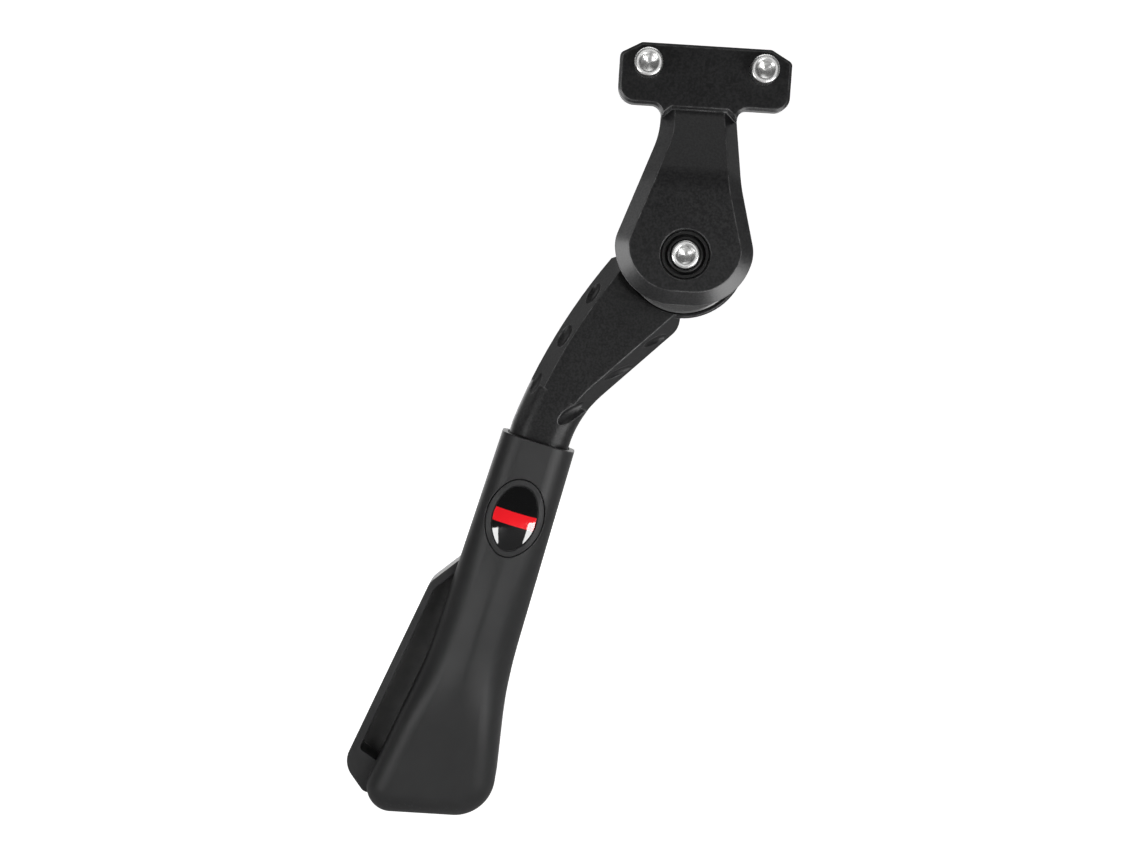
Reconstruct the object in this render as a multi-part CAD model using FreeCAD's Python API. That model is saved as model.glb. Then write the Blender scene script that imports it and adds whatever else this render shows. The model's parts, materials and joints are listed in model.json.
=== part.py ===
import FreeCAD, Part
import math
import os

# Bicycle kickstand for a two-hole rear mount, in millimetres and degrees.
# Origin: midway between the two mounting screws, on the seat face that meets the frame.
# X to the right, Z up, the outer side of the stand faces -Y.

V = FreeCAD.Vector

# Mounting plate and its screws
BOLT_PITCH = 40.0
SCREW_D = 6.0
SCREW_LENGTH = 16.0
THREAD_DEPTH = 0.35
PLATE_WIDTH = 59.8
PLATE_THICK = 6.0
PLATE_ABOVE = 7.5
PLATE_BELOW = 13.6
PLATE_CUT = 7.4
PLATE_BEVEL = 0.9

# Boss and hub, where the leg turns
PIVOT_X = -3.3
PIVOT_Z = -64.9
BOSS_STANDOFF = 8.0
BOSS_THICK = 7.0
BOSS_CHAMFER = 4.7
BOSS_BELOW = 17.4
NECK_LEFT = 11.0
NECK_RIGHT = 15.4
NECK_CORNER = 3.6
NECK_LEDGE = 1.0
NECK_START = 2.0
NECK_RUN = 23.0
HUB_R = 11.0
COUNTERBORE_R = 8.3
COUNTERBORE_DEPTH = 6.0
COUNTERBORE_BEVEL = 0.5

# Leg
HEAD_R = 22.1
WASHER_R = 20.2
WASHER_THICK = 1.2
WASHER_BEVEL = 0.6
ARM_THICK = 14.0
ARM_BEVEL = 5.3
ARM_SIDE_DEPTH = 9.0
ARM_BEND_AT = 12.4
ARM_BEND_R = 39.0
ARM_ROUND = 7.5
ARM_BACK_BEVEL = 2.0
ARM_EDGE = 0.5
ARM_TIP = 26.0
TIP_ROUND = 7.0
FOLD_ANGLE = 100.0
PLUNGER_ANGLE = 45.0
PLUNGER_R = 2.9
PLUNGER_LENGTH = 15.0
PLUNGER_THROW = 1.0
STOP_R = 16.5
STOP_PIN_R = 2.0
SCOOP_DEPTH = 1.0
STOP_PIN_SET = 5.0
STOP_PIN_REACH = 2.8
DETENT_SPRING_LENGTH = 18.0
BUSH_WALL = 1.6
BUSH_LENGTH = 4.2

# Parts that hold the leg on the hub
RETAINER_R = 15.0
RETAINER_THICK = 1.5
NUT_HEIGHT = 4.4
NUT_COLLAR = 2.0
CUP_BASE = 1.2

# Foot, measured along its own tilted axis from the mouth of the sleeve
FOOT_TILT = 13.6
MOUTH_DX = -46.8
MOUTH_DZ = -68.66
SOLE_AT = 141.4
FOOT_ROUND = 8.0
FOOT_BACK_ROUND = 4.0
FOOT_LEAN = 2.5
COLLAR_HALF = 11.0
COLLAR_LENGTH = 11.0
BAR_WIDTH = 13.0
BAR_THICK = 10.0
BAR_END = 92.0
NOTCHES = 7
NOTCH_PITCH = 5.0
NOTCH_DEPTH = 1.7
NOTCH_WIDTH = 2.8
SLEEVE_WALL = 2.0
WING_RIM = 2.6
WING_FRONT = 0.0
WING_BACK = 12.5
BUTTON_AT = 28.0
BUTTON_WIDTH = 20.2
BUTTON_LENGTH = 28.0
BUTTON_THROW = 2.0
BUTTON_PROUD = 0.6
DOME_WIDTH = 15.2
DOME_LENGTH = 23.2
DOME_HEIGHT = 1.6
DOME_SET = 0.6
DOME_GROOVE = 0.45
SPRING_POCKET_R = 3.4
CORE_WALL = 3.2
CORE_RIB = 2.4

# Clearances
RUN_FIT = 0.05
SLIDE_FIT = 0.1
GAP = 0.3
SCREW_GAP = 0.2
COLLAR_GAP = 0.4

# Derived positions
SEAT_Y = 0.0
PLATE_Y = SEAT_Y - PLATE_THICK
BOSS_BACK = SEAT_Y - BOSS_STANDOFF
BOSS_FRONT = BOSS_BACK - BOSS_THICK
HEAD_FRONT = BOSS_BACK + WASHER_THICK + SLIDE_FIT
ARM_FRONT = BOSS_BACK + 0.5
ARM_BACK = ARM_FRONT + ARM_THICK
HUB_END = ARM_BACK + WASHER_THICK + 2 * SLIDE_FIT
BUSH_R = HUB_R + BUSH_WALL
BUSH_END = HEAD_FRONT + BUSH_LENGTH
PLUNGER_Y = (BUSH_END + ARM_BACK) / 2
PLUNGER_END = HUB_R + GAP + PLUNGER_LENGTH
BORE_END = PLUNGER_END + DETENT_SPRING_LENGTH
MID_Y = (ARM_FRONT + ARM_BACK) / 2
SCREW_R = SCREW_D / 2
HEAD_SCREW_R = SCREW_D * 10 / 12
PIVOT = V(PIVOT_X, 0, PIVOT_Z)
TILT = math.radians(FOOT_TILT)
DOWN = V(-math.sin(TILT), 0, -math.cos(TILT))
ACROSS = V(math.cos(TILT), 0, -math.sin(TILT))
MOUTH = PIVOT + V(MOUTH_DX, 0, MOUTH_DZ)
SLEEVE_HALF = COLLAR_HALF + COLLAR_GAP + SLEEVE_WALL
SLEEVE_FRONT = ARM_FRONT - COLLAR_GAP - SLEEVE_WALL
SLEEVE_BACK = ARM_BACK + COLLAR_GAP + SLEEVE_WALL
BAR_FRONT = MID_Y - BAR_THICK / 2
BAR_BACK = MID_Y + BAR_THICK / 2
HOLE_FRONT = BAR_FRONT - BUTTON_THROW - GAP
HOLE_BACK = BAR_BACK + GAP
BUTTON_FRONT = SLEEVE_FRONT - BUTTON_PROUD
DOME_SEAT = BUTTON_FRONT + DOME_SET
BUTTON_BACK = HOLE_BACK + 4.5
SPRING_SEAT = HOLE_BACK + 1.3
CHAMBER_BACK = BUTTON_BACK + BUTTON_THROW + GAP
FOOT_BACK = CHAMBER_BACK + SLEEVE_WALL + 0.2
NUT_FLATS = SCREW_D * 10 / 6
NUT_SEAT = HUB_END + RETAINER_THICK
NUT_END = NUT_SEAT + NUT_HEIGHT + NUT_COLLAR
CUP_SEAT = BOSS_FRONT + COUNTERBORE_DEPTH
SCREW_SEAT = CUP_SEAT - CUP_BASE


def at(dx, dz):
    """Point in the plane of the swing, measured from the pivot."""
    return PIVOT + V(dx, 0, dz)


def foot(across, down):
    """Point in the plane of the swing, measured from the mouth of the sleeve along the foot."""
    return MOUTH + ACROSS * across + DOWN * down


def polar(radius, angle):
    """Point at a radius from the pivot, the angle counted from straight down towards -X."""
    turn = math.radians(angle)
    return PIVOT + V(-math.sin(turn), 0, -math.cos(turn)) * radius


def path(start, *steps):
    """Closed wire: each step is a point for a line, or a pair (through, end) for an arc."""
    edges = []
    here = start
    for step in list(steps) + [start]:
        if isinstance(step, tuple):
            edges.append(Part.Arc(here, step[0], step[1]).toShape())
            here = step[1]
        elif (step - here).Length > 1e-6:
            edges.append(Part.LineSegment(here, step).toShape())
            here = step
    return Part.Wire(edges)


def corner_arc(before, here, after, radius):
    """Start, middle and end of the arc that rounds a corner."""
    back = (before - here).normalize()
    ahead = (after - here).normalize()
    half = back.getAngle(ahead) / 2
    reach = radius / math.tan(half)
    middle = here + (back + ahead).normalize() * (radius / math.sin(half) - radius)
    return here + back * reach, middle, here + ahead * reach


def rounded(corners):
    """Closed wire through corners (point, radius), each corner rounded with its radius."""
    ends = []
    count = len(corners)
    for i, (here, radius) in enumerate(corners):
        ends.append(corner_arc(corners[i - 1][0], here, corners[(i + 1) % count][0], radius))
    steps = []
    for i, (start, middle, end) in enumerate(ends):
        steps.append(start)
        if corners[i][1] > 0:
            steps.append((middle, end))
    return path(ends[0][0], *steps[1:])


def slab(wire, front, back):
    """Solid of the wire's outline between two depths."""
    face = Part.Face(wire)
    face.translate(V(0, front, 0))
    return face.extrude(V(0, back - front, 0))


def rod(radius, front, back, centre=PIVOT):
    """Cylinder along Y round a centre."""
    return Part.makeCylinder(radius, back - front, V(centre.x, front, centre.z), V(0, 1, 0))


def ring(radius, bore, front, back, centre=PIVOT):
    """Washer along Y."""
    return rod(radius, front, back, centre).cut(rod(bore, front - 1, back + 1, centre))


def hexagon(flats, front, back, centre=PIVOT):
    """Six-sided prism along Y."""
    reach = flats / math.sqrt(3)
    turns = [math.radians(60 * i) for i in range(6)]
    corners = [centre + V(math.sin(turn), 0, math.cos(turn)) * reach for turn in turns]
    return slab(path(*corners), front, back)


def oval(width, length, centre):
    """Egg-shaped outline along the foot: round ends joined by flatter sides, slimmer below."""
    half = width / 2
    reach = length / 2
    sides = []
    for end_r in (half * 0.78, half * 0.62):
        rise = reach - end_r
        side_r = (half ** 2 + rise ** 2 - end_r ** 2) / (2 * (half - end_r))
        towards = V(side_r - half, 0, rise).normalize()
        midway = (V(1, 0, 0) + towards).normalize() * side_r
        sides.append((midway.x + half - side_r, midway.z, towards.x * end_r, rise + towards.z * end_r))

    def spot(x, down):
        return centre + ACROSS * x + DOWN * down

    (up_x, up_z, top_x, top_z), (low_x, low_z, end_x, end_z) = sides
    return path(
        spot(half, 0),
        (spot(low_x, low_z), spot(end_x, end_z)),
        (spot(0, reach), spot(-end_x, end_z)),
        (spot(-low_x, low_z), spot(-half, 0)),
        (spot(-up_x, -up_z), spot(-top_x, -top_z)),
        (spot(0, -reach), spot(top_x, -top_z)),
        (spot(up_x, -up_z), spot(half, 0)),
    )


def block(half_width, top, bottom, front, back):
    """Box along the foot's axis."""
    wire = path(
        foot(-half_width, top),
        foot(half_width, top),
        foot(half_width, bottom),
        foot(-half_width, bottom),
    )
    return slab(wire, front, back)


def round_front(shape, front, radius):
    """Rounds the two front edges of a box along the foot's axis."""
    edges = []
    for edge in shape.Edges:
        run = edge.valueAt(edge.LastParameter) - edge.valueAt(edge.FirstParameter)
        if abs(edge.CenterOfMass.y - front) < 1e-6 and abs(run.normalize().dot(DOWN)) > 0.99:
            edges.append(edge)
    return shape.makeFillet(radius, edges)


def rim_edges(shape, facing):
    """Edges between faces that look along a direction and faces that stand upright to it."""
    found = []
    for edge in shape.Edges:
        middle = edge.valueAt((edge.FirstParameter + edge.LastParameter) / 2)
        looks = []
        for face in shape.ancestorsOfType(edge, Part.Face):
            u, v = face.Surface.parameter(middle)
            looks.append(face.normalAt(u, v).dot(facing))
        if max(looks) > 0.6 and abs(min(looks)) < 0.2:
            found.append(edge)
    return found


def coil(radius, wire_r, turns, start, axis, length):
    """Compression spring from a start point along an axis."""
    height = length - 2 * wire_r
    helix = Part.makeHelix(height / turns, height, radius)
    section = Part.Wire(Part.makeCircle(wire_r, V(radius, 0, 0), V(0, 1, 0)))
    spring = Part.Wire(helix).makePipeShell([section], True, True)
    spring.Placement = FreeCAD.Placement(start + axis * wire_r, FreeCAD.Rotation(V(0, 0, 1), axis))
    return spring


def socket_screw(centre, seat, length, waist):
    """Socket head cap screw, its head in front of the seat: a slim waist, then thread."""
    head_height = SCREW_D
    head = rod(HEAD_SCREW_R, seat - head_height, seat, centre)
    head = head.makeChamfer(0.5, rim_edges(head, V(0, -1, 0)))
    neck = rod(SCREW_R - THREAD_DEPTH, seat, seat + waist, centre)
    shank = rod(SCREW_R, seat + waist, seat + length, centre)
    shank = shank.makeChamfer(0.7, rim_edges(shank, V(0, 1, 0)))
    socket = hexagon(SCREW_D * 5 / 6, seat - head_height - 1, seat - head_height / 2, centre)
    return head.fuse([neck, shank]).removeSplitter().cut(socket)


def mount_bracket():
    """Plate, cranked neck, chamfered boss and hub, one forging."""
    side = PLATE_WIDTH / 2
    neck_left = at(-NECK_LEFT, 0).x
    neck_right = at(NECK_RIGHT, 0).x
    low = -PLATE_BELOW
    ledge = low - NECK_LEDGE
    end = low - NECK_CORNER - 0.4
    wire = rounded([
        (V(-side + PLATE_CUT, 0, PLATE_ABOVE), 2.0),
        (V(side - PLATE_CUT, 0, PLATE_ABOVE), 2.0),
        (V(side, 0, PLATE_ABOVE - PLATE_CUT * 0.55), 2.0),
        (V(side, 0, low), 5.0),
        (V(neck_right, 0, low), NECK_CORNER),
        (V(neck_right, 0, end), 0),
        (V(neck_left, 0, end), 0),
        (V(neck_left, 0, low), NECK_CORNER),
        (V(-side, 0, low), 6.0),
        (V(-side, 0, PLATE_ABOVE - PLATE_CUT * 0.55), 2.0),
    ])
    plate = slab(wire, PLATE_Y, SEAT_Y)
    brim = [e for e in rim_edges(plate, V(0, -1, 0)) if e.CenterOfMass.z > low - 0.5]
    plate = plate.makeChamfer(PLATE_BEVEL, brim)
    arch = path(
        V(neck_left + NECK_CORNER, PLATE_Y + PLATE_BEVEL, ledge),
        V(neck_right - NECK_CORNER, PLATE_Y + PLATE_BEVEL, ledge),
        V(neck_right + NECK_CORNER, PLATE_Y + PLATE_BEVEL, 2 * end - ledge),
        V(neck_left - NECK_CORNER, PLATE_Y + PLATE_BEVEL, 2 * end - ledge),
    )
    flare = arch.makeOffset2D(PLATE_BEVEL, 2)
    flare.translate(V(0, -PLATE_BEVEL, 0))
    plate = plate.cut(Part.Face(arch).extrude(V(0, PLATE_THICK, 0)))
    plate = plate.cut(Part.makeLoft([flare, arch], True, True))

    top = -PIVOT_Z - PLATE_BELOW
    sides = rounded([
        (at(-NECK_LEFT, top), 0),
        (at(-NECK_LEFT, 42.0), 30.0),
        (at(-24.65, 3.6), 12.0),
        (at(-21.4, -BOSS_BELOW), 21.0),
        (at(18.8, -BOSS_BELOW), 20.5),
        (at(24.35, 1.2), 13.0),
        (at(17.95, 25.0), 40.0),
        (at(NECK_RIGHT, top), 0),
    ])
    shoulder = low - NECK_START
    bend = shoulder - NECK_RUN
    crank = rounded([
        (V(0, PLATE_Y + NECK_LEDGE, low + 1), 0),
        (V(0, PLATE_Y + NECK_LEDGE, shoulder), 4.0),
        (V(0, BOSS_FRONT, bend), 20.0),
        (V(0, BOSS_FRONT, PIVOT_Z - 30), 0),
        (V(0, BOSS_BACK, PIVOT_Z - 30), 0),
        (V(0, BOSS_BACK, bend - 3), 8.0),
        (V(0, SEAT_Y, shoulder - 3), 10.0),
        (V(0, SEAT_Y, low + 1), 0),
    ])
    profile = Part.Face(crank).extrude(V(PLATE_WIDTH * 2, 0, 0))
    profile.translate(V(-PLATE_WIDTH, 0, 0))
    body = slab(sides, BOSS_FRONT - 1, SEAT_Y + 1).common(profile)
    brim = [e for e in rim_edges(body, V(0, -1, 0)) if e.CenterOfMass.z < low - 0.5]
    body = body.makeChamfer(BOSS_CHAMFER, brim)

    hub = rod(HUB_R, BOSS_BACK - 1, HUB_END)
    bracket = plate.fuse([body, hub]).removeSplitter()
    for x in (-BOLT_PITCH / 2, BOLT_PITCH / 2):
        bracket = bracket.cut(rod(SCREW_R + SCREW_GAP, PLATE_Y - 1, SEAT_Y + 1, V(x, 0, 0)))
    bracket = bracket.cut(rod(SCREW_R + SCREW_GAP, BOSS_FRONT - 1, HUB_END + 1))
    bracket = bracket.cut(rod(COUNTERBORE_R, BOSS_FRONT - 1, BOSS_FRONT + COUNTERBORE_DEPTH))
    mouth = V(PIVOT_X, BOSS_FRONT, PIVOT_Z)
    wide = COUNTERBORE_R + COUNTERBORE_BEVEL
    bracket = bracket.cut(Part.makeCone(wide, COUNTERBORE_R, COUNTERBORE_BEVEL, mouth, V(0, 1, 0)))
    pin = polar(STOP_R, 180)
    bracket = bracket.cut(rod(STOP_PIN_R, BOSS_BACK - STOP_PIN_SET, BOSS_BACK + 1, pin))
    hollow_r = PLUNGER_R + GAP
    hollow_at = HUB_R + GAP - PLUNGER_THROW - GAP + hollow_r
    for angle in (PLUNGER_ANGLE, PLUNGER_ANGLE - FOLD_ANGLE):
        centre = polar(hollow_at, angle)
        bracket = bracket.cut(Part.makeSphere(hollow_r, V(centre.x, PLUNGER_Y, centre.z)))
    return bracket


def arc_slot(radius, width, start, end, front, back):
    """Curved slot round the pivot with round ends, angles counted as in polar."""
    inner = radius - width / 2
    outer = radius + width / 2
    middle = (start + end) / 2
    wire = path(
        polar(outer, start),
        (polar(outer, middle), polar(outer, end)),
        polar(inner, end),
        (polar(inner, middle), polar(inner, start)),
    )
    slot = slab(wire, front, back)
    for angle in (start, end):
        slot = slot.fuse(rod(width / 2, front, back, polar(radius, angle)))
    return slot.removeSplitter()


def scoop(centre, along, normal, reach):
    """Leaf-shaped hollow: the bite of a disc cutter with a round rim."""
    rim = 2.6
    big = reach * reach / (8 * SCOOP_DEPTH)
    axis = along.cross(normal).normalize()
    hub = centre + normal * (big - SCOOP_DEPTH)
    return Part.makeTorus(big - rim, rim, hub, axis)


def arm_edges(arm, facing):
    """Long edges of the arm on one side: not the tip's, the end's or those inside the head."""
    found = []
    for edge in rim_edges(arm, facing):
        centre = edge.CenterOfMass
        run = edge.valueAt(edge.LastParameter) - edge.valueAt(edge.FirstParameter)
        crosses = abs(run.normalize().dot(ACROSS)) > 0.97
        upright = abs(centre.x - at(ARM_EDGE, 0).x) < 0.1
        inner = centre.z > at(0, -2).z
        if not (crosses or upright or inner):
            found.append(edge)
    return found


def outward(start, end):
    """Direction square to a line in the plane of the swing, to the right of it as it goes down."""
    return V(start.z - end.z, 0, end.x - start.x).normalize()


def steep_side(tip, knee, hub):
    """Cutter for the arm's right side: a slope along the edge and a cone round the bend's hub."""
    slope = ARM_BEVEL / ARM_SIDE_DEPTH
    front = V(0, ARM_FRONT - 1, 0)
    back = V(0, ARM_FRONT + ARM_SIDE_DEPTH + 1, 0)
    out = outward(tip, knee)
    run = (knee - tip).normalize()
    top = tip - run * 20
    inner = ARM_BEVEL + slope
    wire = path(
        top - out * inner + front,
        top + out * slope + back,
        top + out * 20 + back,
        top + out * 20 + front,
    )
    straight = Part.Face(wire).extrude(knee - top)
    cone = Part.makeCone(ARM_BEND_R + inner, ARM_BEND_R - slope, back.y - front.y, hub + front, V(0, 1, 0))
    left = knee - out * 2 * inner
    right = knee + out * 2 * ARM_BEND_R
    beyond = slab(path(left, right, right + run * 60, left + run * 60), front.y, back.y)
    return straight.fuse(cone.common(beyond))


def leg():
    """Round head, bent arm with bevels and scoops, and the notched bar, one forging."""
    tip = at(ARM_EDGE, -ARM_TIP)
    collar_end = foot(COLLAR_HALF, COLLAR_LENGTH - GAP)
    bend = foot(COLLAR_HALF, -ARM_BEND_AT)
    knee, bend_middle, bend_end = corner_arc(tip, bend, collar_end, ARM_BEND_R)
    wire = path(
        at(ARM_EDGE, 0),
        tip,
        knee,
        (bend_middle, bend_end),
        collar_end,
        foot(-COLLAR_HALF, COLLAR_LENGTH - GAP),
        foot(-COLLAR_HALF, -4.0),
        (at(-43.9, -32.5), at(-25.0, -2.4)),
        at(-18.0, 0),
    )
    arm = slab(wire, ARM_FRONT, ARM_BACK)
    arm = arm.makeChamfer(ARM_BACK_BEVEL, arm_edges(arm, V(0, 1, 0)))
    front = arm_edges(arm, V(0, -1, 0))
    lower = slab(path(at(-70, -36.9), at(-10, -67.6), at(-10, -140), at(-110, -140)), ARM_FRONT, ARM_BACK)
    left = [e for e in front if (e.CenterOfMass - MOUTH).dot(ACROSS) < 0]
    hub = bend_middle + (bend_middle - bend).normalize() * ARM_BEND_R
    upper_arm = arm.makeChamfer(ARM_BEVEL, left).cut(lower)
    upper_arm = upper_arm.cut(steep_side(tip, knee, hub))
    lower_arm = arm.makeFillet(ARM_ROUND, front).common(lower)
    arm = upper_arm.fuse(lower_arm).removeSplitter()
    start, middle, end = corner_arc(at(ARM_EDGE, 0), tip, knee, TIP_ROUND)
    arm = arm.cut(slab(path(start, tip, end, (middle, start)), ARM_FRONT - 1, ARM_BACK + 1))

    left_normal = V(-0.638, -0.707, 0.304)
    inset = ARM_BEVEL / 2
    run = (knee - tip).normalize()
    out = outward(tip, knee)
    steep = ARM_SIDE_DEPTH
    for down, depth, reach in ((9.2, steep, 10.5), (26.3, steep, 13.0), (45.1, ARM_BEVEL, 13.5)):
        normal = (out * depth - V(0, ARM_BEVEL, 0)).normalize()
        leaf = V(-0.851, 0, -0.435)
        leaf.y = -leaf.dot(normal) / normal.y
        centre = tip + run * down - out * inset + V(0, ARM_FRONT + depth / 2, 0)
        arm = arm.cut(scoop(centre, leaf.normalize(), normal, reach))
    for dx, dz, reach in ((-32.6, -13.4, 8.5), (-41.9, -29.4, 8.5), (-51.2, -46.4, 9.5)):
        centre = at(dx, dz) + V(0.88 * inset, ARM_FRONT + inset, -0.47 * inset)
        arm = arm.cut(scoop(centre, V(-0.43, 0, -0.903), left_normal, reach))

    head = rod(HEAD_R, HEAD_FRONT, ARM_BACK)
    head = head.makeChamfer(0.6, rim_edges(head, V(0, -1, 0)) + rim_edges(head, V(0, 1, 0)))
    arm = arm.cut(rod(WASHER_R + 0.5, ARM_FRONT - 1, HEAD_FRONT))
    bar = block(BAR_WIDTH / 2, COLLAR_LENGTH - 1, BAR_END, BAR_FRONT, BAR_BACK)
    body = arm.fuse([head, bar]).removeSplitter()
    for i in range(NOTCHES):
        top = BUTTON_AT + NOTCH_PITCH * i - NOTCH_WIDTH / 2
        body = body.cut(block(BAR_WIDTH, top, top + NOTCH_WIDTH, BAR_BACK - NOTCH_DEPTH, BAR_BACK + 1))
    body = body.cut(rod(BUSH_R, HEAD_FRONT - 1, BUSH_END))
    body = body.cut(rod(HUB_R + GAP, BUSH_END - 1, ARM_BACK + 1))
    slot_width = 2 * (STOP_PIN_R + GAP)
    slot_end = HEAD_FRONT + STOP_PIN_REACH + GAP
    body = body.cut(arc_slot(STOP_R, slot_width, 180, 180 + FOLD_ANGLE, HEAD_FRONT - 1, slot_end))
    start = polar(HEAD_R + 5, PLUNGER_ANGLE + 180)
    bore_end = polar(BORE_END, PLUNGER_ANGLE)
    bore = Part.makeCylinder(
        PLUNGER_R + SLIDE_FIT,
        (bore_end - start).Length,
        V(start.x, PLUNGER_Y, start.z),
        bore_end - start,
    )
    return body.cut(bore)


def detent_plunger():
    """Pin with a round nose, drawn back clear of the hub."""
    nose = HUB_R + GAP + PLUNGER_R
    inner = polar(nose, PLUNGER_ANGLE)
    outer = polar(PLUNGER_END, PLUNGER_ANGLE)
    lift = V(0, PLUNGER_Y, 0)
    shank = Part.makeCylinder(PLUNGER_R, (outer - inner).Length, inner + lift, outer - inner)
    return shank.fuse(Part.makeSphere(PLUNGER_R, inner + lift)).removeSplitter()


def foot_outline():
    """Sleeve and flared foot, seen from the front."""
    half = SLEEVE_HALF
    right = half + 10.2
    left = -half - 11.5
    return rounded([
        (foot(-half, 0), 0),
        (foot(half, 0), 0),
        (foot(half + 1.3, SOLE_AT * 0.625), 200.0),
        (foot(right, sole_at(right)), 14.5),
        (foot(left, sole_at(left)), 9.0),
        (foot(-half - 2.1, SOLE_AT * 0.605), 150.0),
    ])


def sole_at(across):
    """Distance along the foot to the level sole, at a place across the foot."""
    return SOLE_AT - across * math.tan(TILT)


def core_columns():
    """Three hollows that core the foot from behind: upper left, upper right, lower left, lower right."""
    rib = CORE_RIB / 2
    inner = SLEEVE_HALF / 3
    upper = SLEEVE_HALF + 2.2 - CORE_WALL
    lower = SLEEVE_HALF + 5.4 - CORE_WALL
    return (
        (-upper, -inner - rib, -lower, -inner - rib),
        (-inner + rib, inner - rib, -inner + rib, inner - rib),
        (inner + rib, upper, inner + rib, lower),
    )


def wing_outline():
    """Side wing: a slanting upper edge, a long side and a blunt lower end."""
    base = -SLEEVE_HALF
    return rounded([
        (foot(base + 3.4, SOLE_AT * 0.307), 0),
        (foot(base - 9.05, SOLE_AT * 0.431), 8.0),
        (foot(base - 20.0, SOLE_AT * 0.9485), 9.0),
        (foot(base - 10.2, SOLE_AT * 1.004), 3.0),
        (foot(base + 3.4, SOLE_AT * 1.004), 0),
    ])


def pocket_outline():
    """Pocket of the wing: pointed above, with a rim that widens downwards and a broad lower rim."""
    base = -SLEEVE_HALF
    return rounded([
        (foot(base + 3.4, SOLE_AT * 0.340), 0),
        (foot(base - 6.9, SOLE_AT * 0.444), 5.0),
        (foot(base - 15.9, SOLE_AT * 0.900), 1.5),
        (foot(base + 3.4, SOLE_AT * 0.945), 0),
    ])


def foot_shell():
    """Plastic sleeve, foot and wing, hollow for the bar and the button, one moulding."""
    body = slab(foot_outline(), SLEEVE_FRONT - 2 * FOOT_LEAN, FOOT_BACK + 2 * FOOT_LEAN)
    length = SOLE_AT + COLLAR_LENGTH
    side = path(
        V(0, SLEEVE_FRONT, 0),
        V(0, SLEEVE_FRONT - FOOT_LEAN, -length),
        V(0, FOOT_BACK + FOOT_LEAN * 0.6, -length),
        V(0, FOOT_BACK, -COLLAR_LENGTH - 4),
        V(0, SLEEVE_BACK, 0),
    )
    profile = Part.Face(side).extrude(V(length, 0, 0))
    profile.translate(V(-length / 2, 0, 0))
    lean = FreeCAD.Placement(MOUTH, FreeCAD.Rotation(V(0, 1, 0), FOOT_TILT))
    profile.Placement = lean.multiply(profile.Placement)
    body = body.common(profile)
    front = [e for e in rim_edges(body, V(0, -1, 0)) if (e.CenterOfMass - MOUTH).dot(DOWN) > 1]
    body = body.makeFillet(FOOT_ROUND, front)
    back = [e for e in rim_edges(body, V(0, 1, 0)) if (e.CenterOfMass - MOUTH).dot(DOWN) > 1]
    body = body.makeFillet(FOOT_BACK_ROUND, back)

    wing = slab(wing_outline(), WING_FRONT, WING_BACK)
    wing = wing.cut(slab(pocket_outline(), WING_FRONT - 1, WING_BACK - WING_RIM))
    shell = body.fuse(wing).removeSplitter()

    collar = COLLAR_HALF + COLLAR_GAP
    hole_front = ARM_FRONT - COLLAR_GAP
    hole = block(collar, -1, COLLAR_LENGTH, hole_front, ARM_BACK + COLLAR_GAP)
    shell = shell.cut(round_front(hole, hole_front, ARM_ROUND + COLLAR_GAP))
    tunnel = BAR_WIDTH / 2 + GAP
    shell = shell.cut(block(tunnel, COLLAR_LENGTH - 1, BAR_END + 3, BAR_FRONT - GAP, BAR_BACK + GAP))
    window = oval(BUTTON_WIDTH + 2 * GAP, BUTTON_LENGTH + 2 * GAP, foot(0, BUTTON_AT))
    shell = shell.cut(slab(window, SLEEVE_FRONT - 4, CHAMBER_BACK))
    for left, right, low_left, low_right in core_columns():
        wire = rounded([
            (foot(left, SOLE_AT * 0.718), 1.5),
            (foot(right, SOLE_AT * 0.718), 1.5),
            (foot(low_right, sole_at(low_right) - CORE_WALL), 1.5),
            (foot(low_left, sole_at(low_left) - CORE_WALL), 1.5),
        ])
        shell = shell.cut(slab(wire, SLEEVE_FRONT + CORE_WALL, FOOT_BACK + 5))
    return shell


def release_button():
    """Oval block round the bar, with a tooth behind the bar and a pocket for its spring."""
    centre = foot(0, BUTTON_AT)
    body = slab(oval(BUTTON_WIDTH, BUTTON_LENGTH, centre), BUTTON_FRONT, BUTTON_BACK)
    top = BUTTON_AT - BUTTON_LENGTH
    bottom = BUTTON_AT + BUTTON_LENGTH
    crown = block(SLEEVE_HALF + BUTTON_PROUD, top, bottom, BUTTON_FRONT, BUTTON_BACK)
    body = body.common(round_front(crown, BUTTON_FRONT, FOOT_ROUND))
    groove = 2 * DOME_GROOVE
    recess = oval(DOME_WIDTH + groove, DOME_LENGTH + groove, centre)
    body = body.cut(slab(recess, BUTTON_FRONT - 1, DOME_SEAT))
    tunnel = BAR_WIDTH / 2 + GAP
    body = body.cut(block(tunnel, top, bottom, HOLE_FRONT, HOLE_BACK))
    half = NOTCH_WIDTH / 2 - SCREW_GAP
    tooth_front = BAR_BACK - NOTCH_DEPTH + SCREW_GAP
    tooth = block(BAR_WIDTH / 2 - 1, BUTTON_AT - half, BUTTON_AT + half, tooth_front, HOLE_BACK + 1)
    body = body.fuse(tooth).removeSplitter()
    return body.cut(rod(SPRING_POCKET_R, SPRING_SEAT, BUTTON_BACK + 1, centre))


def button_dome():
    """Glossy oval inlay with a rounded brim, set into the button's face."""
    wire = oval(DOME_WIDTH, DOME_LENGTH, foot(0, BUTTON_AT))
    dome = slab(wire, BUTTON_FRONT - DOME_HEIGHT, DOME_SEAT)
    return dome.makeFillet(DOME_HEIGHT * 0.9, rim_edges(dome, V(0, -1, 0)))


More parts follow.
